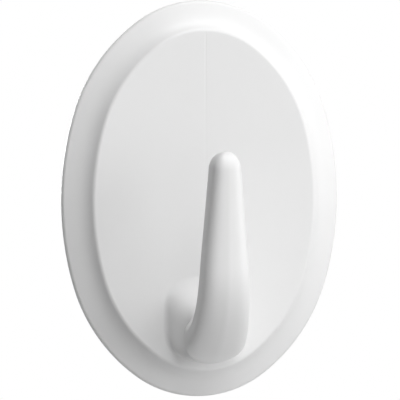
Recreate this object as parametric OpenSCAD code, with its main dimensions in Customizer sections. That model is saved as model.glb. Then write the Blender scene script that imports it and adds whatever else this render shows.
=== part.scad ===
// Adhesive wall hook: an oval moulded plate with a tapered hook, held to the
// wall by a foam pad that is coated on both faces and covered by a release liner.
// Frame: the wall is the plane y = 0, the hook stands out along -Y, +Z is up.

/* [Plate] */
// Height of the oval plate
plate_h = 62; // [52:0.5:80]
// Width of the oval plate
plate_w = 44.2; // [36:0.2:50]
// Fullness of the oval's shoulders
fullness = 0.55; // [0.4:0.05:0.7]
// Thickness from the back of the rim to the flat front
plate_t = 3.2; // [2.6:0.1:5]
// Thickness of the rim's upright edge
edge_t = 0.2; // [0.1:0.05:0.6]
// Radius of the rim's rounded lip
lip_r = 0.5; // [0.3:0.05:0.9]
// Width of the sloped border, from the outline to the raised front
flange_w = 4.5; // [3:0.05:6]
// Slope of the border where it leaves the lip, degrees
border_slope = 20; // [12:1:26]
// Length of the border that is rounded over into the raised front
front_round = 0.45; // [0.2:0.05:1]

/* [Back] */
// Width of the rim that surrounds the pad's recess
back_rim_w = 3; // [2:0.1:3.8]
// Depth of the recess that takes the pad
recess_d = 1.1; // [0.6:0.05:1.3]
// Mouth diameter of the cored hole behind the hook's root
core_d = 4.4; // [3:0.1:5]
// Depth of the cored hole, from the floor of the recess
core_depth = 3; // [2:0.1:3.4]
// Height of the cored hole over the root's lower end
core_up = 3.9; // [3.4:0.1:4.6]
// Draft of the cored hole, degrees
core_draft = 4; // [1:0.5:8]

/* [Hook] */
// Reach of the hook's front from the back of the rim
hook_reach = 18.5; // [15:0.1:24]
// Height of the tip above the plate's centre
tip_z = 8.4; // [2:0.1:14]
// Height of the straight part of the tongue, below the tip
straight_h = 17.5; // [12:0.1:20]
// Distance from the lower edge of the raised front up to the hook's root
root_gap = 2.2; // [1.2:0.1:4]
// Width of the root where it stands on the plate
root_w = 12.2; // [11:0.1:14]
// Height of the root where it stands on the plate
root_h = 12.3; // [11:0.1:15]
// Radius of the fillet round the root
root_fillet = 0.6; // [0.3:0.05:1]
// Width that the tongue's taper would have at the plate
heel_w = 10.8; // [9:0.1:12]
// How far the neck behind the chin is drawn in from that taper
neck_in = 3.6; // [0:0.1:4.2]
// Where the neck lies, as a share of the bend
neck_at = 0.23; // [0.18:0.01:0.3]
// Length of the neck, as a share of the bend
neck_l = 0.1; // [0.06:0.01:0.14]
// Width of the tongue where it starts to run straight
belly_w = 7; // [5.5:0.1:8.5]
// Thickness of the tongue there
belly_t = 6.1; // [4:0.1:7]
// Width of the tongue just below its rounded tip
tip_w = 4.4; // [3.4:0.1:5.4]
// Thickness of the tongue just below its rounded tip
tip_t = 5.7; // [3.4:0.1:6.4]
// Height of the rounded tip
tip_l = 2.8; // [2:0.1:4]
// How far the tip's top lies in front of the tongue's middle
tip_lean = 0.9; // [0:0.1:1.5]
// How far the saddle's curve runs out from the plate before it turns
saddle_out = 4; // [1:0.1:5]
// How far the saddle's curve runs down the plate before it turns
saddle_pull = 8.5; // [7:0.1:10]
// How far the throat's curve runs down the tongue before it turns
throat_pull = 10.4; // [9:0.1:12.5]
// How far the sole's curve runs out from the plate before it turns
sole_pull = 3.7; // [3:0.1:8]
// How far the sole's curve dips towards the chin
sole_sag = 2.8; // [0:0.1:3.4]
// How far the belly's curve runs down before it turns
belly_pull = 11.4; // [8:0.1:16]
// How quickly the root narrows to the tongue's taper
flare_power = 4; // [2:0.5:8]
// Squareness of the root's section, where 2 is an ellipse
root_power = 3; // [2:0.1:4]
// Squareness of the tongue's section
tongue_power = 2.4; // [2:0.1:3]
// Draft of the hook to each side of its middle plane, degrees
hook_draft = 1.5; // [0:0.25:3]

/* [Pad] */
// Clearance between the pad and the wall of its recess
pad_clear = 0.5; // [0.3:0.05:1]
// Thickness of the foam
foam_t = 1.2; // [0.8:0.05:2]
// Thickness of each adhesive coat
coat_t = 0.1; // [0.06:0.01:0.2]
// Thickness of the release liner
liner_t = 0.1; // [0.06:0.01:0.2]
// Width of the liner's finger tab
tab_w = 11; // [8:0.5:14]
// Length of the tab past the pad
tab_l = 2; // [1.2:0.1:2.4]

/* [Hidden] */
$fn = 96;

// Depths from the wall
wall_coat_y = liner_t;
foam_y = wall_coat_y + coat_t;
front_coat_y = foam_y + foam_t;
floor_y = front_coat_y + coat_t;
rim_y = floor_y - recess_d;
front_y = rim_y + plate_t;
reach_y = rim_y + hook_reach;

// Oval of eight arcs that share their tangents: two ends, four shoulders and two sides.
// The arcs meet in the directions of a 3-4-5 and a 7-24-25 triangle, which give the factors below.
semi_h = plate_h / 2;
semi_w = plate_w / 2;
oval_step = semi_h - semi_w;
end_dir = [0.6, 0.8];
side_dir = [0.96, 0.28];
end_r = semi_w - fullness * oval_step;
shoulder_r = end_r + (3 * fullness - 0.5) * oval_step;
side_r = shoulder_r + 5 * (1 - fullness) * oval_step;
end_at = [0, semi_h - end_r];
shoulder_at = end_at - (shoulder_r - end_r) * end_dir;
side_at = [semi_w - side_r, 0];
oval_sides = 96;

// Border profile, as [distance in from the outline, depth over the rim's back]:
// an upright edge, a rounded lip, a slope that steepens steadily, and a turn into the raised front
lip_end = [lip_r * (1 - sin(border_slope)), edge_t + lip_r * cos(border_slope)];
cove_run = flange_w - lip_end.x;
cove_gain = (plate_t - lip_end.y) / cove_run ^ 2 - tan(border_slope) / cove_run;
function cove(u) = lip_end + [u, u * tan(border_slope) + cove_gain * u ^ 2];
turn_u = cove_run - front_round;
turn_start = cove(turn_u);
turn_corner = [turn_start.x + (plate_t - turn_start.y) / (tan(border_slope) + 2 * cove_gain * turn_u), plate_t];
turn_end = turn_corner + [norm(turn_corner - turn_start), 0];
lip_steps = 3;
cove_steps = 6;
turn_steps = 4;
border = concat(
    [[0, 0]],
    [for (i = [0:lip_steps]) let (a = 90 - (90 - border_slope) * i / lip_steps)
        [lip_r * (1 - sin(a)), edge_t + lip_r * cos(a)]],
    [for (i = [1:cove_steps]) cove(turn_u * i / cove_steps)],
    [for (i = [1:turn_steps]) let (t = i / turn_steps)
        (1 - t) ^ 2 * turn_start + 2 * t * (1 - t) * turn_corner + t ^ 2 * turn_end]
);

// Pad outline, inset from the plate's
pad_inset = back_rim_w + pad_clear;

// Hook in side view, as [depth, height]: an inner and an outer edge that leave the plate together
root_low = -semi_h + flange_w + root_gap;
root_high = root_low + root_h;
belly_z = tip_z - straight_h;
inner_edge = [
    [front_y, root_high],
    [front_y + saddle_out, root_high - saddle_pull],
    [reach_y - belly_t, belly_z - throat_pull],
    [reach_y - belly_t, belly_z]
];
outer_edge = [
    [front_y, root_low],
    [front_y + sole_pull, root_low - sole_sag],
    [reach_y, belly_z - belly_pull],
    [reach_y, belly_z]
];
// Depth that the hook's foot runs into the plate
root_sink = (plate_t - recess_d) / 2;
// Stations along the bend crowd towards the root by this power
bend_crowd = 1.3;
bend_steps = 22;
straight_steps = 6;
// The rounded tip stops just short of its pole, in degrees
tip_end = 86;
tip_steps = 6;
section_sides = 32;

// Point on a cubic curve
function cubic(p, t) =
    let (s = 1 - t)
    s * s * s * p[0] + 3 * s * s * t * p[1] + 3 * s * t * t * p[2] + t * t * t * p[3];

// Growth of a quarter-round fillet at a height over the plate
function flare(height) =
    height >= root_fillet ? 0 : root_fillet - sqrt(root_fillet ^ 2 - (root_fillet - max(height, 0)) ^ 2);

// Power of a signed number
function signed_pow(v, power) = sign(v) * abs(v) ^ power;

// Outline of the oval, inset by a distance, with one corner in each direction that it faces
function oval(inset) =
    [for (k = [0:oval_sides - 1])
        let (
            a = 360 * k / oval_sides,
            facing = [abs(cos(a)), abs(sin(a))],
            arc = facing.y < side_dir.y ? [side_at, side_r]
                : facing.y < end_dir.y ? [shoulder_at, shoulder_r]
                : [end_at, end_r],
            p = arc[0] + (arc[1] - inset) * facing
        )
        [p.x * sign(cos(a)), -p.y * sign(sin(a))]];

// A station is [middle of the section, its half height as a vector, its half width, its squareness]
function bend_station(t) =
    let (
        inner = cubic(inner_edge, t),
        outer = cubic(outer_edge, t),
        middle = (inner + outer) / 2,
        half = (outer - inner) / 2,
        grow = flare(middle.x - front_y),
        near_root = (1 - t) ^ flare_power,
        neck = neck_in * exp(-((t - neck_at) / neck_l) ^ 2),
        width = belly_w + (heel_w - belly_w) * (1 - t) + (root_w - heel_w) * near_root - neck,
        power = tongue_power + (root_power - tongue_power) * near_root
    )
    [middle, half * (1 + grow / norm(half)), width / 2 + grow, power];

function straight_station(s) =
    let (
        thick = belly_t + (tip_t - belly_t) * s,
        z = belly_z + (straight_h - tip_l) * s
    )
    [[reach_y - thick / 2, z], [thick / 2, 0], (belly_w + (tip_w - belly_w) * s) / 2, tongue_power];

function tip_station(a) =
    let (last = straight_station(1))
    [last[0] + [tip_lean * (1 - cos(a)), tip_l * sin(a)], last[1] * cos(a), last[2] * cos(a), tongue_power];

root_station = bend_station(0);
stations = concat(
    [[root_station[0] - [root_sink, 0], root_station[1], root_station[2], root_power]],
    [for (i = [0:bend_steps]) bend_station((i / bend_steps) ^ bend_crowd)],
    [for (i = [1:straight_steps]) straight_station(i / straight_steps)],
    [for (i = [1:tip_steps]) tip_station(tip_end * i / tip_steps)]
);

// One ring of points round a station, drawn in slightly from the middle plane by the draft
function section_ring(st) =
    let (thick = norm(st[1]))
    [for (j = [0:section_sides - 1])
        let (
            a = 360 * j / section_sides,
            x = st[2] * signed_pow(cos(a), 2 / st[3]),
            v = signed_pow(sin(a), 2 / st[3]) * (1 - abs(x) * tan(hook_draft) / thick),
            p = st[0] + st[1] * v
        )
        [x, -p.x, p.y]];

// One ring of points round the oval, at a depth from the wall
function oval_ring(inset, depth) = [for (p = oval(inset)) [p.x, -depth, p.y]];

// Skins a row of rings, from the wall outwards, and closes its two ends
module loft(rings) {
    n = len(rings[0]);
    last = n * (len(rings) - 1);
    walls = [for (i = [0:n:last - n], j = [0:n - 1])
        let (a = i + j, b = i + (j + 1) % n)
        each [[a, b, a + n], [b, b + n, a + n]]];
    ends = [[for (j = [n - 1:-1:0]) j], [for (j = [0:n - 1]) last + j]];
    polyhedron([for (ring = rings) each ring], concat(walls, ends));
}

// Stands a shape that was drawn on its back against the wall, at a depth
module stand(depth) {
    translate([0, -depth, 0]) rotate([90, 0, 0]) children();
}

module oval_slab(depth, inset, thickness) {
    stand(depth) linear_extrude(thickness) polygon(oval(inset));
}

module hook_plate() {
    color("white")
        difference() {
            union() {
                loft([for (p = border) oval_ring(p.x, rim_y + p.y)]);
                loft([for (st = stations) section_ring(st)]);
            }
            oval_slab(0, back_rim_w, floor_y);
            translate([0, 0, root_low + core_up])
                stand(floor_y)
                    cylinder(d1 = core_d, d2 = core_d - 2 * core_depth * tan(core_draft), h = core_depth);
        }
}

module front_adhesive() {
    color("gainsboro") oval_slab(front_coat_y, pad_inset, coat_t);
}

module foam_core() {
    color("whitesmoke") oval_slab(foam_y, pad_inset, foam_t);
}

module wall_adhesive() {
    color("gainsboro") oval_slab(wall_coat_y, pad_inset, coat_t);
}

module release_liner() {
    color("khaki")
        stand(0)
            linear_extrude(liner_t) {
                polygon(oval(pad_inset));
                intersection() {
                    polygon(oval(pad_inset - tab_l));
                    translate([-tab_w / 2, -semi_h]) square([tab_w, semi_h]);
                }
            }
}

hook_plate();
front_adhesive();
foam_core();
wall_adhesive();
release_liner();
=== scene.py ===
import math
import bmesh
import bpy
from mathutils import Matrix, Vector


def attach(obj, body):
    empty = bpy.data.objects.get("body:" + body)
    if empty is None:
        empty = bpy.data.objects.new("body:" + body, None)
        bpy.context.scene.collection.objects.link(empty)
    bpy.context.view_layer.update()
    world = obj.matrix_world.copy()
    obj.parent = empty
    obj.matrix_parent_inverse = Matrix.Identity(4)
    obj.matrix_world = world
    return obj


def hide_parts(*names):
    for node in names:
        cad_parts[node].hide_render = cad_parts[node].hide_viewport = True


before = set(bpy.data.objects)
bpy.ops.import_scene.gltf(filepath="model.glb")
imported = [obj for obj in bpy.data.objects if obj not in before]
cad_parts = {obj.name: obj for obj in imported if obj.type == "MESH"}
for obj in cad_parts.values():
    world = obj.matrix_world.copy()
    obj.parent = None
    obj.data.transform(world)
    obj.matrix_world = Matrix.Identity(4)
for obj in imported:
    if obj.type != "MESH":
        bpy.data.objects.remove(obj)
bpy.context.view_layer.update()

mm = 0.001  # sizes below are in millimetres, and meshes are in metres
print("frame loaded with", ", ".join(sorted(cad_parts)))


# Helpers for node trees
class Field:
    # a number that runs through a node tree, so that a formula reads as one
    def __init__(self, net, socket):
        self.net = net
        self.socket = socket

    def __add__(self, other):
        return self.net.calc("ADD", self, other)

    def __radd__(self, other):
        return self.net.calc("ADD", other, self)

    def __sub__(self, other):
        return self.net.calc("SUBTRACT", self, other)

    def __rsub__(self, other):
        return self.net.calc("SUBTRACT", other, self)

    def __mul__(self, other):
        return self.net.calc("MULTIPLY", self, other)

    def __rmul__(self, other):
        return self.net.calc("MULTIPLY", other, self)

    def __truediv__(self, other):
        return self.net.calc("DIVIDE", self, other)

    def __rtruediv__(self, other):
        return self.net.calc("DIVIDE", other, self)

    def __pow__(self, other):
        return self.net.calc("POWER", self, other)


class Net:
    # thin layer over a node tree: adds nodes, plugs values, and does sums
    def __init__(self, tree):
        self.tree = tree

    def add(self, kind, **settings):
        node = self.tree.nodes.new(kind)
        for key, value in settings.items():
            setattr(node, key, value)
        return node

    def plug(self, socket, value):
        source = value.socket if isinstance(value, Field) else value
        if isinstance(source, bpy.types.NodeSocket):
            self.tree.links.new(source, socket)
        else:
            socket.default_value = source

    def plugAll(self, node, values):
        for socket, value in zip(node.inputs, values):
            self.plug(socket, value)

    def fill(self, node, **values):
        for key, value in values.items():
            self.plug(node.inputs[key.replace("_", " ")], value)

    def calc(self, operation, *values):
        node = self.add("ShaderNodeMath", operation=operation)
        self.plugAll(node, values)
        return Field(self, node.outputs[0])

    def pick(self, choice, yes, no):
        return no + choice * (yes - no)

    def sizeAndSign(self, value):
        return self.calc("ABSOLUTE", value), self.calc("SIGN", value)

    def split(self, vector):
        node = self.add("ShaderNodeSeparateXYZ")
        self.plugAll(node, [vector])
        return [Field(self, socket) for socket in node.outputs]

    def join(self, x, y, z):
        node = self.add("ShaderNodeCombineXYZ")
        self.plugAll(node, (x, y, z))
        return node.outputs[0]


def addObject(name, data):
    item = bpy.data.objects.new(name, data)
    bpy.context.collection.objects.link(item)
    return item


# One tree skins every moulded or die-cut piece. A piece is a row of rings. Each ring
# is the plate's oval at an inset, a rounded section of the hook, or a mix of the two,
# and the tree lays faces from ring to ring.
oval = {
    "Oval height": 62.0,
    "Oval width": 44.2,
    "Fullness": 0.55,  # of the oval's shoulders
    "Points round": 288,
    "Crowding": 0.92,  # gathers points at the middle plane
    "Draft": 4.5,  # degrees, to each side of the middle plane
    "Seam half": 0.16,  # the front's parting line is a fine groove
    "Seam depth": 0.03,
}
shoulderJoin = (0.6, 0.8)  # direction, across and up, in which end and shoulder meet
sideJoin = 0.28  # upward share of the direction in which shoulder and side meet


def ovalRadii(semiHeight, semiWidth, fullness):
    # radii of end, shoulder and side, as numbers or as fields; the factors follow from the joins
    step = semiHeight - semiWidth
    endRadius = semiWidth - fullness * step
    shoulderRadius = endRadius + (3 * fullness - 0.5) * step
    sideRadius = shoulderRadius + 5 * (1 - fullness) * step
    return endRadius, shoulderRadius, sideRadius


def ovalQuarter(net, size, inset, sideways, upright):
    # the upper right quarter of the oval, whose arcs share their tangents
    semiHeight, semiWidth = size["Oval height"] * 0.5, size["Oval width"] * 0.5
    endRadius, shoulderRadius, sideRadius = ovalRadii(semiHeight, semiWidth, size["Fullness"])
    endUp = semiHeight - endRadius
    reach = shoulderRadius - endRadius
    onSide = net.calc("LESS_THAN", upright, sideJoin)
    onShoulder = net.calc("LESS_THAN", upright, shoulderJoin[1])
    radius = net.pick(onSide, sideRadius, net.pick(onShoulder, shoulderRadius, endRadius))
    centreAcross = net.pick(onSide, semiWidth - sideRadius, onShoulder * reach * -shoulderJoin[0])
    centreUp = net.pick(onSide, 0.0, endUp - onShoulder * reach * shoulderJoin[1])
    return centreAcross + (radius - inset) * sideways, centreUp + (radius - inset) * upright


def addSockets(tree):
    # a modifier's inputs are set by the identifiers that this gives
    sizeKinds = {label: "Int" if isinstance(value, int) else "Float" for label, value in oval.items()}
    ids = {}
    for label, kind in {"Rings": "Geometry", **sizeKinds, "Finish": "Material"}.items():
        socket = tree.interface.new_socket(label, in_out="INPUT", socket_type="NodeSocket" + kind)
        if label in oval:
            socket.default_value = oval[label]
        ids[label] = socket.identifier
    tree.interface.new_socket("Piece", in_out="OUTPUT", socket_type="NodeSocketGeometry")
    return ids


def buildRingSkin():
    tree = bpy.data.node_groups.new("ringSkin", "GeometryNodeTree")
    tree.is_modifier = True
    ids = addSockets(tree)
    net = Net(tree)
    given = net.add("NodeGroupInput")
    rings = given.outputs["Rings"]
    size = {label: Field(net, given.outputs[label]) for label in oval}

    # a blank tube with one ring of points for each ring of the piece
    count = net.add("GeometryNodeAttributeDomainSize", component="MESH")
    net.fill(count, Geometry=rings)
    lastRing = Field(net, count.outputs["Point Count"]) - 1
    tube = net.add("GeometryNodeMeshCylinder", fill_type="TRIANGLE_FAN")
    net.fill(tube, Vertices=size["Points round"], Side_Segments=lastRing, Radius=1.0, Depth=2.0)
    tubeX, tubeY, tubeZ = net.split(net.add("GeometryNodeInputPosition").outputs[0])
    off = net.calc("ROUND", tubeX * tubeX + tubeY * tubeY)  # 0 only at the two end points
    ringNumber = net.calc("ROUND", (tubeZ + 1) * 0.5 * lastRing)
    turn = net.calc("ARCTAN2", tubeY, tubeX)
    facing = turn + net.calc("SINE", turn * 2) * size["Crowding"] * 0.5
    sideways, right = net.sizeAndSign(net.calc("COSINE", facing))
    upright, top = net.sizeAndSign(net.calc("SINE", facing))

    def ringValue(name):
        named = net.add("GeometryNodeInputNamedAttribute", data_type="FLOAT_VECTOR")
        net.fill(named, Name=name)
        sample = net.add("GeometryNodeSampleIndex", data_type="FLOAT_VECTOR", clamp=True)
        net.fill(sample, Geometry=rings, Value=named.outputs["Attribute"], Index=ringNumber)
        return net.split(sample.outputs["Value"])

    inset, depth, mix = ringValue("ovalAt")
    middleDepth, middleUp, power = ringValue("middle")
    halfDepth, halfUp, halfWide = ringValue("half")
    seam = ringValue("seam")[0]
    ovalAcross, ovalUp = ovalQuarter(net, size, inset, sideways, upright)

    # the section: the point of a rounded box that faces the same way as the oval's
    halfTall = net.calc("SQRT", halfDepth * halfDepth + halfUp * halfUp)
    dual = power / (power - 1)
    wideShare, tallShare = halfWide * sideways, halfTall * upright
    support = (wideShare ** dual + tallShare ** dual) ** (1 / dual)
    sectionAcross = off * halfWide * (wideShare / support) ** (dual - 1)
    sectionTall = off * (tallShare / support) ** (dual - 1)
    lean = net.calc("TANGENT", net.calc("RADIANS", size["Draft"])) / halfTall
    along = top * -1 * sectionTall * (1 - sectionAcross * lean)

    across = net.pick(mix, sectionAcross, ovalAcross)  # distance from the middle plane
    groove = net.calc("MAXIMUM", 1 - across / size["Seam half"], 0.0) * size["Seam depth"]
    x = right * across
    y = (net.pick(mix, middleDepth + halfDepth * along, depth) - seam * groove) * -1
    z = net.pick(mix, middleUp + halfUp * along, top * ovalUp)

    def passOn(kind, source):
        node = net.add(kind)
        net.fill(node, Geometry=source.outputs[0])
        return node

    placed = passOn("GeometryNodeSetPosition", tube)
    net.fill(placed, Position=net.join(x * mm, y * mm, z * mm))
    smooth = passOn("GeometryNodeSetShadeSmooth", placed)
    real = passOn("GeometryNodeRealizeInstances", smooth)
    finished = passOn("GeometryNodeSetMaterial", real)
    net.fill(finished, Material=given.outputs["Finish"])
    net.fill(net.add("NodeGroupOutput"), Piece=finished.outputs[0])
    return tree, ids


def newRing(ovalAt, middle, half, seam=0.0):
    # ovalAt is inset, depth and the section's share; middle is depth, height and power;
    # half is the section's half depth, half height and half width
    return {"ovalAt": ovalAt, "middle": middle, "half": half, "seam": (seam, 0.0, 0.0)}


def ovalRing(inset, depth, seam=0.0):
    # the circle in it is unused, but keeps the section's sums sound
    return newRing((inset, depth, 0.0), (depth, 0.0, 2.0), (0.0, -1.0, 1.0), seam)


def sectionRing(middle, half, wide, power=2.0):
    return newRing((0.0, middle[0], 1.0), (*middle, power), (*half, wide))


def mixedRing(fromOval, toSection, share):
    return {**toSection, "ovalAt": (*fromOval["ovalAt"][:2], share), "seam": fromOval["seam"]}


def skin(name, rings, finish, **changes):
    line = bpy.data.meshes.new(name + "Rings")
    line.from_pydata([(0, 0, i) for i in range(len(rings))], [], [])
    for key in rings[0]:
        values = line.attributes.new(key, "FLOAT_VECTOR", "POINT")
        values.data.foreach_set("vector", [v for ring in rings for v in ring[key]])
    piece = addObject(name, line)
    modifier = piece.modifiers.new("ringSkin", "NODES")
    modifier.node_group = ringSkin
    for label, value in {**oval, **changes, "Finish": finish}.items():
        modifier[ringSkinIds[label]] = value
    graph = bpy.context.evaluated_depsgraph_get()
    mesh = bpy.data.meshes.new_from_object(piece.evaluated_get(graph), depsgraph=graph)
    piece.modifiers.remove(modifier)
    piece.data = mesh
    mesh.name = name
    bpy.data.meshes.remove(line)
    print(name, "skinned from", len(rings), "rings,", len(mesh.polygons), "faces")
    return piece


ringSkin, ringSkinIds = buildRingSkin()


# Finishes, all on object coordinates
def newFinish(name, **shader):
    material = bpy.data.materials.new(name)
    material.use_nodes = True
    net = Net(material.node_tree)
    principled = material.node_tree.nodes["Principled BSDF"]
    net.fill(principled, **shader)
    return material, net, principled


def objectPoint(net, scale=(1, 1, 1)):
    mapping = net.add("ShaderNodeMapping")
    net.fill(mapping, Vector=net.add("ShaderNodeTexCoord").outputs["Object"], Scale=scale)
    return mapping.outputs[0]


def noiseField(net, point, scale, detail=2.0):
    noise = net.add("ShaderNodeTexNoise")
    net.fill(noise, Vector=point, Scale=scale, Detail=detail)
    return Field(net, noise.outputs[0])


def colourMix(net, share, first, second):
    mix = net.add("ShaderNodeMix", data_type="RGBA")
    net.plug(mix.inputs["Factor"], share)
    firstColour, secondColour = [socket for socket in mix.inputs if socket.type == "RGBA"]
    net.plug(firstColour, (*first, 1))
    net.plug(secondColour, (*second, 1))
    return next(socket for socket in mix.outputs if socket.type == "RGBA")


def between(share, ends):
    low, high = ends
    return low + share * (high - low)


def bumpFrom(net, height):
    bump = net.add("ShaderNodeBump")
    net.fill(bump, Height=height, Distance=mm, Strength=1.0)
    return bump.outputs[0]


whitePlastic = {
    "pale": (0.85, 0.85, 0.85),
    "deep": (0.83, 0.83, 0.83),
    "cloudScale": 45.0,
    "roughness": (0.3, 0.38),
    "sheenScale": 160.0,
    "ripple": 0.002,  # height of the mould skin's unevenness
    "rippleScale": 420.0,
}


def makeWhitePlastic():
    material, net, shader = newFinish("satinWhitePlastic", IOR=1.45, Specular_IOR_Level=0.3)
    point = objectPoint(net)
    cloud = noiseField(net, point, whitePlastic["cloudScale"])
    sheen = noiseField(net, point, whitePlastic["sheenScale"])
    ripple = noiseField(net, point, whitePlastic["rippleScale"], detail=3.0)
    net.fill(
        shader,
        Base_Color=colourMix(net, cloud, whitePlastic["deep"], whitePlastic["pale"]),
        Roughness=between(sheen, whitePlastic["roughness"]),
        Normal=bumpFrom(net, ripple * whitePlastic["ripple"]),
    )
    return material


foam = {
    "pale": (0.86, 0.86, 0.84),
    # the shaded pit colour is painted shade in the cells' hollows
    "shadedPit": (0.62, 0.62, 0.6),
    "cell": 0.35,  # width of a cell
    "pitDepth": 0.12,
    "pitRise": 1.6,  # how fast a pit rises to its wall
}


def makeFoam():
    material, net, shader = newFinish("whiteCellFoam", Roughness=0.92, IOR=1.35)
    cells = net.add("ShaderNodeTexVoronoi")
    net.fill(cells, Vector=objectPoint(net), Scale=1 / (foam["cell"] * mm))
    # one share sinks each cell's middle and paints shade there, darkest at the middle
    shadedPit = net.calc("MINIMUM", Field(net, cells.outputs["Distance"]) * foam["pitRise"], 1.0)
    net.fill(
        shader,
        Base_Color=colourMix(net, shadedPit, foam["shadedPit"], foam["pale"]),
        Normal=bumpFrom(net, shadedPit * foam["pitDepth"]),
    )
    return material


adhesive = {
    "pale": (0.83, 0.83, 0.79),
    "deep": (0.76, 0.76, 0.71),
    "cloudScale": 120.0,
    "roughness": (0.18, 0.42),
    "stipple": 0.03,
    "stippleScale": 900.0,
}


def makeAdhesive():
    material, net, shader = newFinish("milkyAdhesive", IOR=1.47)
    point = objectPoint(net)
    cloud = noiseField(net, point, adhesive["cloudScale"])
    stipple = noiseField(net, point, adhesive["stippleScale"], detail=3.0)
    net.fill(
        shader,
        Base_Color=colourMix(net, cloud, adhesive["deep"], adhesive["pale"]),
        Roughness=between(stipple, adhesive["roughness"]),
        Normal=bumpFrom(net, stipple * adhesive["stipple"]),
    )
    return material


paper = {
    "pale": (0.84, 0.755, 0.585),
    "deep": (0.73, 0.635, 0.465),
    "fibreShare": 0.55,  # the rest of the colour's change is clouds
    "roughness": (0.42, 0.6),
    "cloudScale": 260.0,
    "fibre": 0.012,
    "fibreScale": 1100.0,
    "fibreSquash": (2.2, 1, 0.35),  # fibres run upwards
}


def makePaper():
    material, net, shader = newFinish("siliconedPaper", IOR=1.45)
    fibres = noiseField(net, objectPoint(net, paper["fibreSquash"]), paper["fibreScale"], detail=4.0)
    clouds = noiseField(net, objectPoint(net), paper["cloudScale"], detail=3.0)
    tone = fibres * paper["fibreShare"] + clouds * (1 - paper["fibreShare"])
    net.fill(
        shader,
        Base_Color=colourMix(net, tone, paper["deep"], paper["pale"]),
        Roughness=between(clouds, paper["roughness"]),
        Normal=bumpFrom(net, fibres * paper["fibre"]),
    )
    return material


plasticFinish = makeWhitePlastic()
foamFinish = makeFoam()
adhesiveFinish = makeAdhesive()
paperFinish = makePaper()
print("finishes made")


# Hook and plate, one moulding
depths = {  # from the wall
    "wallCoat": 0.1,  # the release liner fills the space up to here
    "foam": 0.2,
    "plateCoat": 1.4,
    "floor": 1.5,  # of the plate's recess
    "rim": 0.4,  # back of the plate
    "front": 3.6,
}

plate = {
    "edge": 0.13,  # upright part of the rim
    "lipRadius": 0.7,
    "border": 4.5,
    "slope": 19.0,  # degrees, where the border leaves the lip
    "steepen": 5.0,  # how late the border turns up to the front
    "frontRound": 0.22,
    "backEdge": 0.12,  # edge sizes are radii
    "backRim": 3.0,  # width of the rim round the pad's recess
    "recessEdge": 0.15,
    "coreAcross": 4.4,  # the cored hole behind the hook's root
    "coreDeep": 3.0,
    "coreUp": 3.9,  # above the root's low end
    "coreDraft": 4.0,  # degrees
    "coreEdge": 0.2,
    "backEdgeRings": 5,
    "lipRings": 12,
    "slopeRings": 24,
    "turnRings": 10,
    "backRings": 8,
    "frontRings": 16,
}

hook = {
    "reach": 18.9,  # from the wall
    "tip": 8.4,  # heights are from the oval's middle
    "straight": 17.5,  # length of the tongue above the bend, tip included
    "rootLow": -24.3,
    "rootHigh": -12.0,
    "rootWide": 12.2,
    "fillet": 0.6,
    "heelWide": 10.8,
    "neckIn": 3.6,
    "neckAt": 0.23,  # share of the bend, as the neck's length is
    "neckLong": 0.1,
    "bellyWide": 7.0,
    "bellyThick": 6.1,
    "tipWide": 4.4,
    "tipThick": 5.7,
    "tipLong": 2.8,
    "tipLean": 0.9,
    "tipEnd": 88.0,  # degrees, where the last small ring closes the tip
    "saddleOut": 4.0,  # handles of the bend's inner curve
    "saddlePull": 8.5,
    "throatPull": 10.4,
    "solePull": 3.7,  # handles of its outer curve
    "soleSag": 2.8,
    "bellyPull": 11.4,
    "flarePower": 4.0,  # how soon the root's flare fades
    "rootPower": 3.4,  # a section of power 2 is an ellipse, and more is squarer
    "tonguePower": 3.6,
    "filletRings": 9,
    "bendRings": 64,
    "straightRings": 30,
    "tipRings": 20,
    "softBefore": 24,  # rings of the bend, and of the straight, that share out the taper
    "softAfter": 16,
    "softPasses": 40,
}


def cubic(points, t):
    s = 1 - t
    weights = (s * s * s, 3 * s * s * t, 3 * s * t * t, t * t * t)
    return tuple(sum(w * p[i] for w, p in zip(weights, points)) for i in (0, 1))


def steps(count, first=0):
    return [i / count for i in range(first, count + 1)]


def innerSteps(count):
    return steps(count)[1:-1]


def arcPoints(centre, radius, start, end, count=4):
    angles = [math.radians(start + (end - start) * t) for t in steps(count)]
    return [(centre[0] + radius * math.cos(a), centre[1] + radius * math.sin(a)) for a in angles]


def findWhere(low, high, isBefore, halvings=40):
    # closes in on the place between low and high up to which isBefore holds
    for _ in range(halvings):
        middle = (low + high) / 2
        if isBefore(middle):
            low = middle
        else:
            high = middle
    return high


def slopePoints(start):
    # the hollow slope from the lip up to the front, and the soft turn there
    front, power = depths["front"], plate["steepen"]
    pitch = math.tan(math.radians(plate["slope"]))
    run = plate["border"] - start.x
    gain = (front - start.y - run * pitch) / run ** power
    turnAt = run - plate["frontRound"]
    along = [turnAt * t for t in steps(plate["slopeRings"], 1)]
    slope = [start + Vector((u, u * pitch + gain * u ** power)) for u in along]
    last = slope[-1]
    lastPitch = pitch + power * gain * turnAt ** (power - 1)
    corner = Vector((last.x + (front - last.y) / lastPitch, front))
    end = corner + Vector(((corner - last).length, 0))
    turn = [last.lerp(corner, t).lerp(corner.lerp(end, t), t) for t in steps(plate["turnRings"], 1)]
    return [tuple(p) for p in slope + turn]


def borderProfile():
    # points as (inset from the outline, depth from the wall), from the recess round to the front
    recess, back, lip = plate["recessEdge"], plate["backEdge"], plate["lipRadius"]
    rim, backRim = depths["rim"], plate["backRim"]
    points = arcPoints((backRim + recess, depths["floor"] - recess), recess, 90, 180)
    points += arcPoints((backRim - recess, rim + recess), recess, 0, -90)
    points += arcPoints((back, rim + back), back, 270, 180, plate["backEdgeRings"])
    points += arcPoints((lip, rim + plate["edge"]), lip, 180, 90 + plate["slope"], plate["lipRings"])
    return points + slopePoints(Vector(points[-1]))


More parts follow.
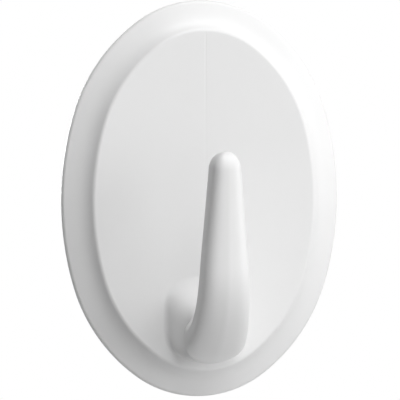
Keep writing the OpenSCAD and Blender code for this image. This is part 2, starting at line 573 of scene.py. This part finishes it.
def bendStation(t):
    front, belly = depths["front"], hook["tip"] - hook["straight"]
    inner, outer = hook["reach"] - hook["bellyThick"], hook["reach"]
    innerEdge = [
        (front, hook["rootHigh"]),
        (front + hook["saddleOut"], hook["rootHigh"] - hook["saddlePull"]),
        (inner, belly - hook["throatPull"]),
        (inner, belly),
    ]
    outerEdge = [
        (front, hook["rootLow"]),
        (front + hook["solePull"], hook["rootLow"] - hook["soleSag"]),
        (outer, belly - hook["bellyPull"]),
        (outer, belly),
    ]
    a, b = Vector(cubic(innerEdge, t)), Vector(cubic(outerEdge, t))
    middle, half = (a + b) / 2, (b - a) / 2
    nearRoot = (1 - t) ** hook["flarePower"]
    neck = hook["neckIn"] * math.exp(-(((t - hook["neckAt"]) / hook["neckLong"]) ** 2))
    taper = hook["bellyWide"] + (hook["heelWide"] - hook["bellyWide"]) * (1 - t)
    wide = taper + (hook["rootWide"] - hook["heelWide"]) * nearRoot - neck
    height = min(max(middle[0] - front, 0.0), hook["fillet"])
    grow = hook["fillet"] - math.sqrt(hook["fillet"] ** 2 - (hook["fillet"] - height) ** 2)
    power = hook["tonguePower"] + (hook["rootPower"] - hook["tonguePower"]) * nearRoot
    return sectionRing(middle, half * (1 + grow / half.length), wide / 2 + grow, power)


def bendAtHeight(height):
    # the share of the bend whose section stands this far off the plate
    return findWhere(0.0, 0.5, lambda t: bendStation(t)["middle"][0] - depths["front"] < height)


def straightStation(s):
    thick = hook["bellyThick"] + (hook["tipThick"] - hook["bellyThick"]) * s
    wide = hook["bellyWide"] + (hook["tipWide"] - hook["bellyWide"]) * s
    up = hook["tip"] - hook["straight"] + (hook["straight"] - hook["tipLong"]) * s
    return sectionRing((hook["reach"] - thick / 2, up), (thick / 2, 0.0), wide / 2, hook["tonguePower"])


def tipStation(degrees):
    c, s = math.cos(math.radians(degrees)), math.sin(math.radians(degrees))
    up = hook["tip"] - hook["tipLong"] * (1 - s)
    middle = (hook["reach"] - hook["tipThick"] / 2 + hook["tipLean"] * (1 - c), up)
    half, wide = (hook["tipThick"] / 2 * c, 0.0), hook["tipWide"] / 2 * c
    return sectionRing(middle, half, wide, hook["tonguePower"])


def softenWidths(rings, passes):
    # takes the small kink out of the taper where the bend meets the straight
    for _ in range(passes):
        wide = [ring["half"][2] for ring in rings]
        for i in range(1, len(rings) - 1):
            evened = (wide[i - 1] + 2 * wide[i] + wide[i + 1]) / 4
            rings[i]["half"] = (*rings[i]["half"][:2], evened)


def coreRings():
    # the cored hole behind the hook's root, from its bottom to its mouth
    floor, edge, deep = depths["floor"], plate["coreEdge"], plate["coreDeep"]
    mouth = plate["coreAcross"] / 2
    bottom = mouth - deep * math.tan(math.radians(plate["coreDraft"]))
    line = arcPoints((bottom - edge, floor + deep - edge), edge, 90, 0)
    line += arcPoints((mouth + edge, floor + edge), edge, 180, 270)
    up = hook["rootLow"] + plate["coreUp"]
    return [sectionRing((depth, up), (0.0, -radius), radius) for radius, depth in line]


def hookRings():
    # from the foot, through fillet, bend and straight, to the tip
    heights = [hook["fillet"] * (1 - math.cos(math.pi / 2 * t)) for t in steps(hook["filletRings"], 1)]
    fillet = [bendStation(bendAtHeight(height)) for height in heights]
    start = bendAtHeight(hook["fillet"])
    bend = [bendStation(start + (1 - start) * t) for t in steps(hook["bendRings"], 1)]
    straight = [straightStation(t) for t in steps(hook["straightRings"], 1)]
    softenWidths(bend[-hook["softBefore"]:] + straight[:hook["softAfter"]], hook["softPasses"])
    tip = [tipStation(hook["tipEnd"] * t) for t in steps(hook["tipRings"], 1)]
    return fillet + bend + straight + tip


def hookPlateRings():
    core = coreRings()
    *profile, frontEdge = borderProfile()
    border = [ovalRing(*p) for p in profile] + [ovalRing(*frontEdge, seam=1.0)]
    back = [mixedRing(border[0], core[-1], 1 - t) for t in innerSteps(plate["backRings"])]
    foot = bendStation(0.0)
    blend = [(1 - math.cos(math.pi * t)) / 2 for t in innerSteps(plate["frontRings"])]
    front = [mixedRing(border[-1], foot, t) for t in blend]
    return core + back + border + front + [foot] + hookRings()


hookPlate = skin("hookPlate", hookPlateRings(), plasticFinish)
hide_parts("hook_plate")
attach(hookPlate, "hook")


# Foam pad and its two coats
pad = {
    "inset": 3.5,  # from the plate's outline
    "foamEdge": 0.12,
    "coatEdge": 0.02,
    "centre": 0.5,  # radius of the small ring in the middle of each face
    "sideRings": 6,
    "faceRings": 24,
}


def slabRings(near, far, edge):
    # a die-cut oval sheet from its wall face to its plate face, with softened edges
    inset, half = pad["inset"], pad["centre"]
    line = arcPoints((inset + edge, near + edge), edge, 270, 180)
    line += [(inset, near + edge + (far - near - 2 * edge) * t) for t in innerSteps(pad["sideRings"])]
    line += arcPoints((inset + edge, far - edge), edge, 180, 90)
    rim = [ovalRing(*p) for p in line]
    nearMiddle = sectionRing((near, 0.0), (0.0, -half), half)
    farMiddle = sectionRing((far, 0.0), (0.0, -half), half)
    shares = innerSteps(pad["faceRings"])
    wallFace = [mixedRing(rim[0], nearMiddle, 1 - t) for t in shares]
    plateFace = [mixedRing(rim[-1], farMiddle, t) for t in shares]
    return [nearMiddle] + wallFace + rim + plateFace + [farMiddle]


foamRings = slabRings(depths["foam"], depths["plateCoat"], pad["foamEdge"])
foamPad = skin("foamPad", foamRings, foamFinish, Draft=0.0)
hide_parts("foam_core")
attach(foamPad, "hook")

coats = {
    "wallCoat": ("wall_adhesive", depths["wallCoat"], depths["foam"]),
    "plateCoat": ("front_adhesive", depths["plateCoat"], depths["floor"]),
}
for name, (node, near, far) in coats.items():
    coat = skin(name, slabRings(near, far, pad["coatEdge"]), adhesiveFinish, Draft=0.0)
    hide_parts(node)
    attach(coat, "hook")


# Release liner with its finger tab
linerSheet = {
    "tabWide": 11.0,
    "tabLong": 2.0,  # past the pad
    "corner": 0.8,  # at the tab's end
    "rootCorner": 0.5,  # where the tab leaves the oval
    "bevel": 0.012,
    "bevelSteps": 2,
    "tabSteps": 8,
    "sideSteps": 120,
    "cornerSteps": 6,
    "cornerPull": 0.55,  # makes a corner's curve nearly an arc
}


def ovalPoint(inset, degrees):
    c, s = math.cos(math.radians(degrees)), math.sin(math.radians(degrees))
    semiHeight, semiWidth = oval["Oval height"] / 2, oval["Oval width"] / 2
    endRadius, shoulderRadius, sideRadius = ovalRadii(semiHeight, semiWidth, oval["Fullness"])
    endUp = semiHeight - endRadius
    reach = shoulderRadius - endRadius
    if abs(s) < sideJoin:
        centre, radius = (semiWidth - sideRadius, 0.0), sideRadius
    elif abs(s) < shoulderJoin[1]:
        centre, radius = (-shoulderJoin[0] * reach, endUp - shoulderJoin[1] * reach), shoulderRadius
    else:
        centre, radius = (0.0, endUp), endRadius
    x, z = centre[0] + (radius - inset) * abs(c), centre[1] + (radius - inset) * abs(s)
    return Vector((math.copysign(x, c), math.copysign(z, s)))


def ovalAngle(inset, across):
    # the direction in which the oval's lower right quarter is this far from the middle
    return findWhere(-90.0, 0.0, lambda angle: ovalPoint(inset, angle).x < across)


def ovalRun(inset, start, end, count):
    return [ovalPoint(inset, start + (end - start) * t) for t in steps(count)]


def roundedCorner(before, corner, after, radius):
    # a small curve in place of one corner of an outline
    start = corner + (before - corner).normalized() * radius
    end = corner + (after - corner).normalized() * radius
    pull = linerSheet["cornerPull"]
    curve = [start, start.lerp(corner, pull), end.lerp(corner, pull), end]
    return [Vector(cubic(curve, t)) for t in steps(linerSheet["cornerSteps"])]


def linerOutline():
    # the right half from the tab's middle up to the top, then its mirror image back down
    inset, half, corner = pad["inset"], linerSheet["tabWide"] / 2, linerSheet["corner"]
    tabInset = inset - linerSheet["tabLong"]
    tabEnd = ovalRun(tabInset, -90, ovalAngle(tabInset, half - corner), linerSheet["tabSteps"])
    side = ovalRun(inset, ovalAngle(inset, half + corner), 90, linerSheet["sideSteps"])
    tip = ovalPoint(tabInset, ovalAngle(tabInset, half))
    root = ovalPoint(inset, ovalAngle(inset, half))
    right = tabEnd[:-1] + roundedCorner(tabEnd[-1], tip, root, corner)
    right += roundedCorner(tip, root, side[0], linerSheet["rootCorner"]) + side
    return right + [Vector((-p.x, p.y)) for p in reversed(right[1:-1])]


def buildLiner():
    thick = depths["wallCoat"] * mm
    form = bmesh.new()
    corners = [form.verts.new((p.x * mm, -thick, p.y * mm)) for p in linerOutline()]
    sheet = form.faces.new(corners)
    grown = bmesh.ops.extrude_face_region(form, geom=[sheet])
    moved = [v for v in grown["geom"] if isinstance(v, bmesh.types.BMVert)]
    bmesh.ops.translate(form, verts=moved, vec=(0, thick, 0))
    bmesh.ops.recalc_face_normals(form, faces=form.faces)
    rims = [e for e in form.edges if abs(e.verts[0].co.y - e.verts[1].co.y) < thick / 2]
    bmesh.ops.bevel(
        form,
        geom=rims,
        offset=linerSheet["bevel"] * mm,
        segments=linerSheet["bevelSteps"],
        affect="EDGES",
        clamp_overlap=True,
    )
    mesh = bpy.data.meshes.new("releaseLiner")
    form.to_mesh(mesh)
    form.free()
    mesh.materials.append(paperFinish)
    print("releaseLiner cut with", len(mesh.polygons), "faces")
    return addObject("releaseLiner", mesh)


releaseLiner = buildLiner()
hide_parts("release_liner")
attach(releaseLiner, "liner")


# Camera, lamps and floor
view = {
    "azimuth": -13.0,
    "elevation": 4.5,
    "distance": 300.0,
    "seenWide": 62.6,  # width of the picture at the object's middle
    "shift": (-0.06, -0.08),  # to the right and up
    "sensor": 36.0,
    "clip": (0.01, 20.0),  # metres
}


def standpoint(azimuth, elevation):
    # direction from the object to a camera or a lamp; azimuth 0 is straight in front
    a, e = math.radians(azimuth), math.radians(elevation)
    return Vector((math.sin(a) * math.cos(e), -math.cos(a) * math.cos(e), math.sin(e)))


def makeCamera():
    back = standpoint(view["azimuth"], view["elevation"])
    right = Vector((0, 0, 1)).cross(back).normalized()
    up = back.cross(right)
    data = bpy.data.cameras.new("photoCamera")
    data.sensor_width = view["sensor"]
    data.lens = view["sensor"] * view["distance"] / view["seenWide"]
    data.clip_start, data.clip_end = view["clip"]
    camera = addObject("photoCamera", data)
    place = back * view["distance"] + right * view["shift"][0] + up * view["shift"][1]
    camera.matrix_world = Matrix.Translation(place * mm) @ Matrix((right, up, back)).transposed().to_4x4()
    bpy.context.scene.camera = camera


lampDistance = 0.9  # metres, as the lamps' sizes are
lamps = {
    "keyBox": {"azimuth": 20.0, "elevation": 55.0, "size": 0.6, "power": 3.0},
    "sideBox": {"azimuth": 60.0, "elevation": 8.0, "size": 0.5, "power": 3.6},
    "topBox": {"azimuth": 0.0, "elevation": 70.0, "size": 0.5, "power": 3.7},
    "frontBox": {"azimuth": 15.0, "elevation": 5.0, "size": 1.0, "power": 2.4},
    "backBox": {"azimuth": 195.0, "elevation": 3.0, "size": 0.2, "power": 4.4},
}


def makeLamps():
    for name, lamp in lamps.items():
        data = bpy.data.lights.new(name, "AREA")
        data.size = lamp["size"]
        data.energy = lamp["power"]
        back = standpoint(lamp["azimuth"], lamp["elevation"])
        turned = back.to_track_quat("Z", "Y").to_matrix().to_4x4()
        addObject(name, data).matrix_world = Matrix.Translation(back * lampDistance) @ turned


floorSheet = {"drop": 0.12, "size": 4.0, "colour": (0.55, 0.55, 0.55)}  # drop and size in metres


def whiteToCamera(net):
    # 1 for what the camera sees straight, in a gloss or through something clear
    path = net.add("ShaderNodeLightPath")
    seen = Field(net, path.outputs["Is Camera Ray"]) + path.outputs["Is Glossy Ray"]
    return net.calc("MINIMUM", seen + path.outputs["Is Transmission Ray"], 1.0)


def makeWhiteRoom():
    world = bpy.data.worlds.new("whiteRoom")
    bpy.context.scene.world = world
    world.use_nodes = True
    net = Net(world.node_tree)
    background = world.node_tree.nodes["Background"]
    net.fill(background, Color=(1, 1, 1, 1), Strength=whiteToCamera(net))


def makeFloor():
    material, net, shader = newFinish("paleFloor", Roughness=0.9, Base_Color=(*floorSheet["colour"], 1))
    glow = net.add("ShaderNodeEmission")
    mix = net.add("ShaderNodeMixShader")
    net.plugAll(mix, (whiteToCamera(net), shader.outputs[0], glow.outputs[0]))
    net.fill(material.node_tree.nodes["Material Output"], Surface=mix.outputs[0])
    half, low = floorSheet["size"] / 2, -floorSheet["drop"]
    corners = [(x * half, y * half, low) for x, y in ((-1, -1), (1, -1), (1, 1), (-1, 1))]
    mesh = bpy.data.meshes.new("floor")
    mesh.from_pydata(corners, [], [(0, 1, 2, 3)])
    mesh.materials.append(material)
    addObject("floor", mesh)


makeCamera()
makeLamps()
makeWhiteRoom()
makeFloor()
bpy.context.scene.view_settings.view_transform = "Standard"
print("camera, lamps and floor set")
